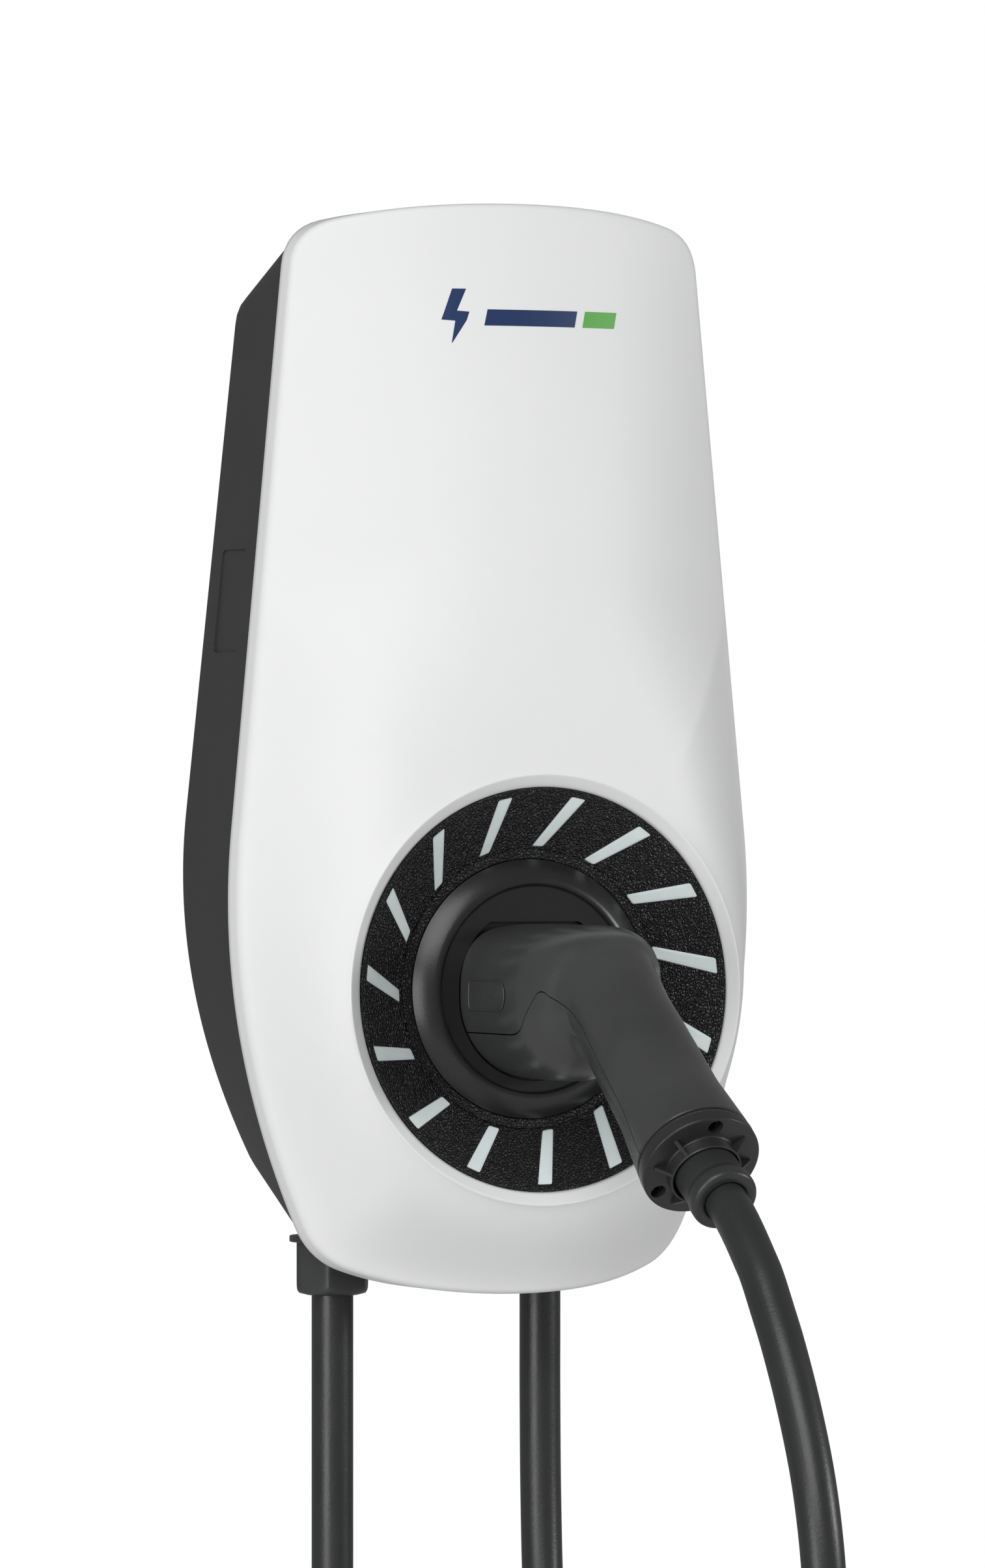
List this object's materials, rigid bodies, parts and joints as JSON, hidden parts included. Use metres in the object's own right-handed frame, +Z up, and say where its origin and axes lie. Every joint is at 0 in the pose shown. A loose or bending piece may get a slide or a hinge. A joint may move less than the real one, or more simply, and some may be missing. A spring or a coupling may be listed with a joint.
{
  "type": "wall-mounted ev charger with tethered connector",
  "caption": "Wall-mounted electric vehicle charger: white domed cover on a grey housing, round lit dial with a parked angled connector on a coiled cable.",
  "frame": {"origin": "centre of the wall bolt pattern, on the wall face behind the middle of the body", "axes": "+Z up, +X to the right seen from the front, +Y into the wall, so the front faces -Y"},
  "size_m": [0.209, 0.3263, 0.7614],
  "materials": {
    "cover_white": "satin moulded plastic",
    "housing_grey": "fine-textured moulded plastic",
    "seal_rubber": "moulded rubber",
    "screw_steel": "zinc-plated steel",
    "dial_black": "leather-grained moulded plastic",
    "light_bar": "translucent moulded plastic",
    "collar_black": "smooth satin plastic",
    "board_green": "solder-masked circuit board",
    "chip_white": "moulded package",
    "relay_blue": "moulded relay case",
    "coil_yellow": "taped ring core",
    "module_black": "potted module",
    "capacitor_sleeve": "shrink-sleeved can",
    "terminal_grey": "moulded terminal block",
    "gland_black": "moulded polyamide",
    "cable_sheath": "smooth polyurethane sheath",
    "core_brown": "insulated core",
    "ferrule_tin": "tinned copper",
    "tie_black": "hook-and-loop strap",
    "plug_grey": "satin moulded plastic",
    "nose_black": "moulded insulator",
    "contact_brass": "silver-plated brass"
  },
  "bodies": {
    "charger": {"front_cover": "cover_white", "rear_housing": "housing_grey", "holster_socket": "housing_grey", "housing_gasket": "seal_rubber", "supply_gland_seal": "seal_rubber", "charging_gland_seal": "seal_rubber", "cover_screws": "screw_steel", "dial_screws": "screw_steel", "holster_screws": "screw_steel", "board_screws": "screw_steel", "terminal_screws": "screw_steel", "wall_bracket": "screw_steel", "control_shield": "screw_steel", "dial_dish": "dial_black", "light_guide": "light_bar", "holster_collar": "collar_black", "led_board": "board_green", "main_board": "board_green", "control_board": "board_green", "led_chips": "chip_white", "relays": "relay_blue", "current_sensor": "coil_yellow", "power_supply": "module_black", "capacitors": "capacitor_sleeve", "terminal_block": "terminal_grey", "output_terminals": "terminal_grey", "supply_gland_body": "gland_black", "supply_gland_nut": "gland_black", "supply_gland_locknut": "gland_black", "charging_gland_body": "gland_black", "charging_gland_nut": "gland_black", "charging_gland_locknut": "gland_black", "supply_cable": "cable_sheath", "charging_cable_rear": "cable_sheath", "charging_cable_coil": "cable_sheath", "charging_cable_front": "cable_sheath", "supply_inner_cores": "core_brown", "charging_inner_cores": "core_brown", "supply_end_cores": "core_brown", "supply_ferrules": "ferrule_tin", "coil_ties": "tie_black"},
    "plug": {"plug_seal": "seal_rubber", "plug_cap_screws": "screw_steel", "plug_upper_shell": "plug_grey", "plug_lower_shell": "plug_grey", "plug_end_cap": "plug_grey", "plug_sleeve": "plug_grey", "plug_nose": "nose_black", "plug_contacts": "contact_brass"}
  },
  "joints": [
    {"name": "plug_slide", "type": "slide", "parent": "charger", "child": "plug", "axis": [0, -1, 0], "range_m": [0, 0.06], "deforming": ["charging_cable_front"]}
  ]
}
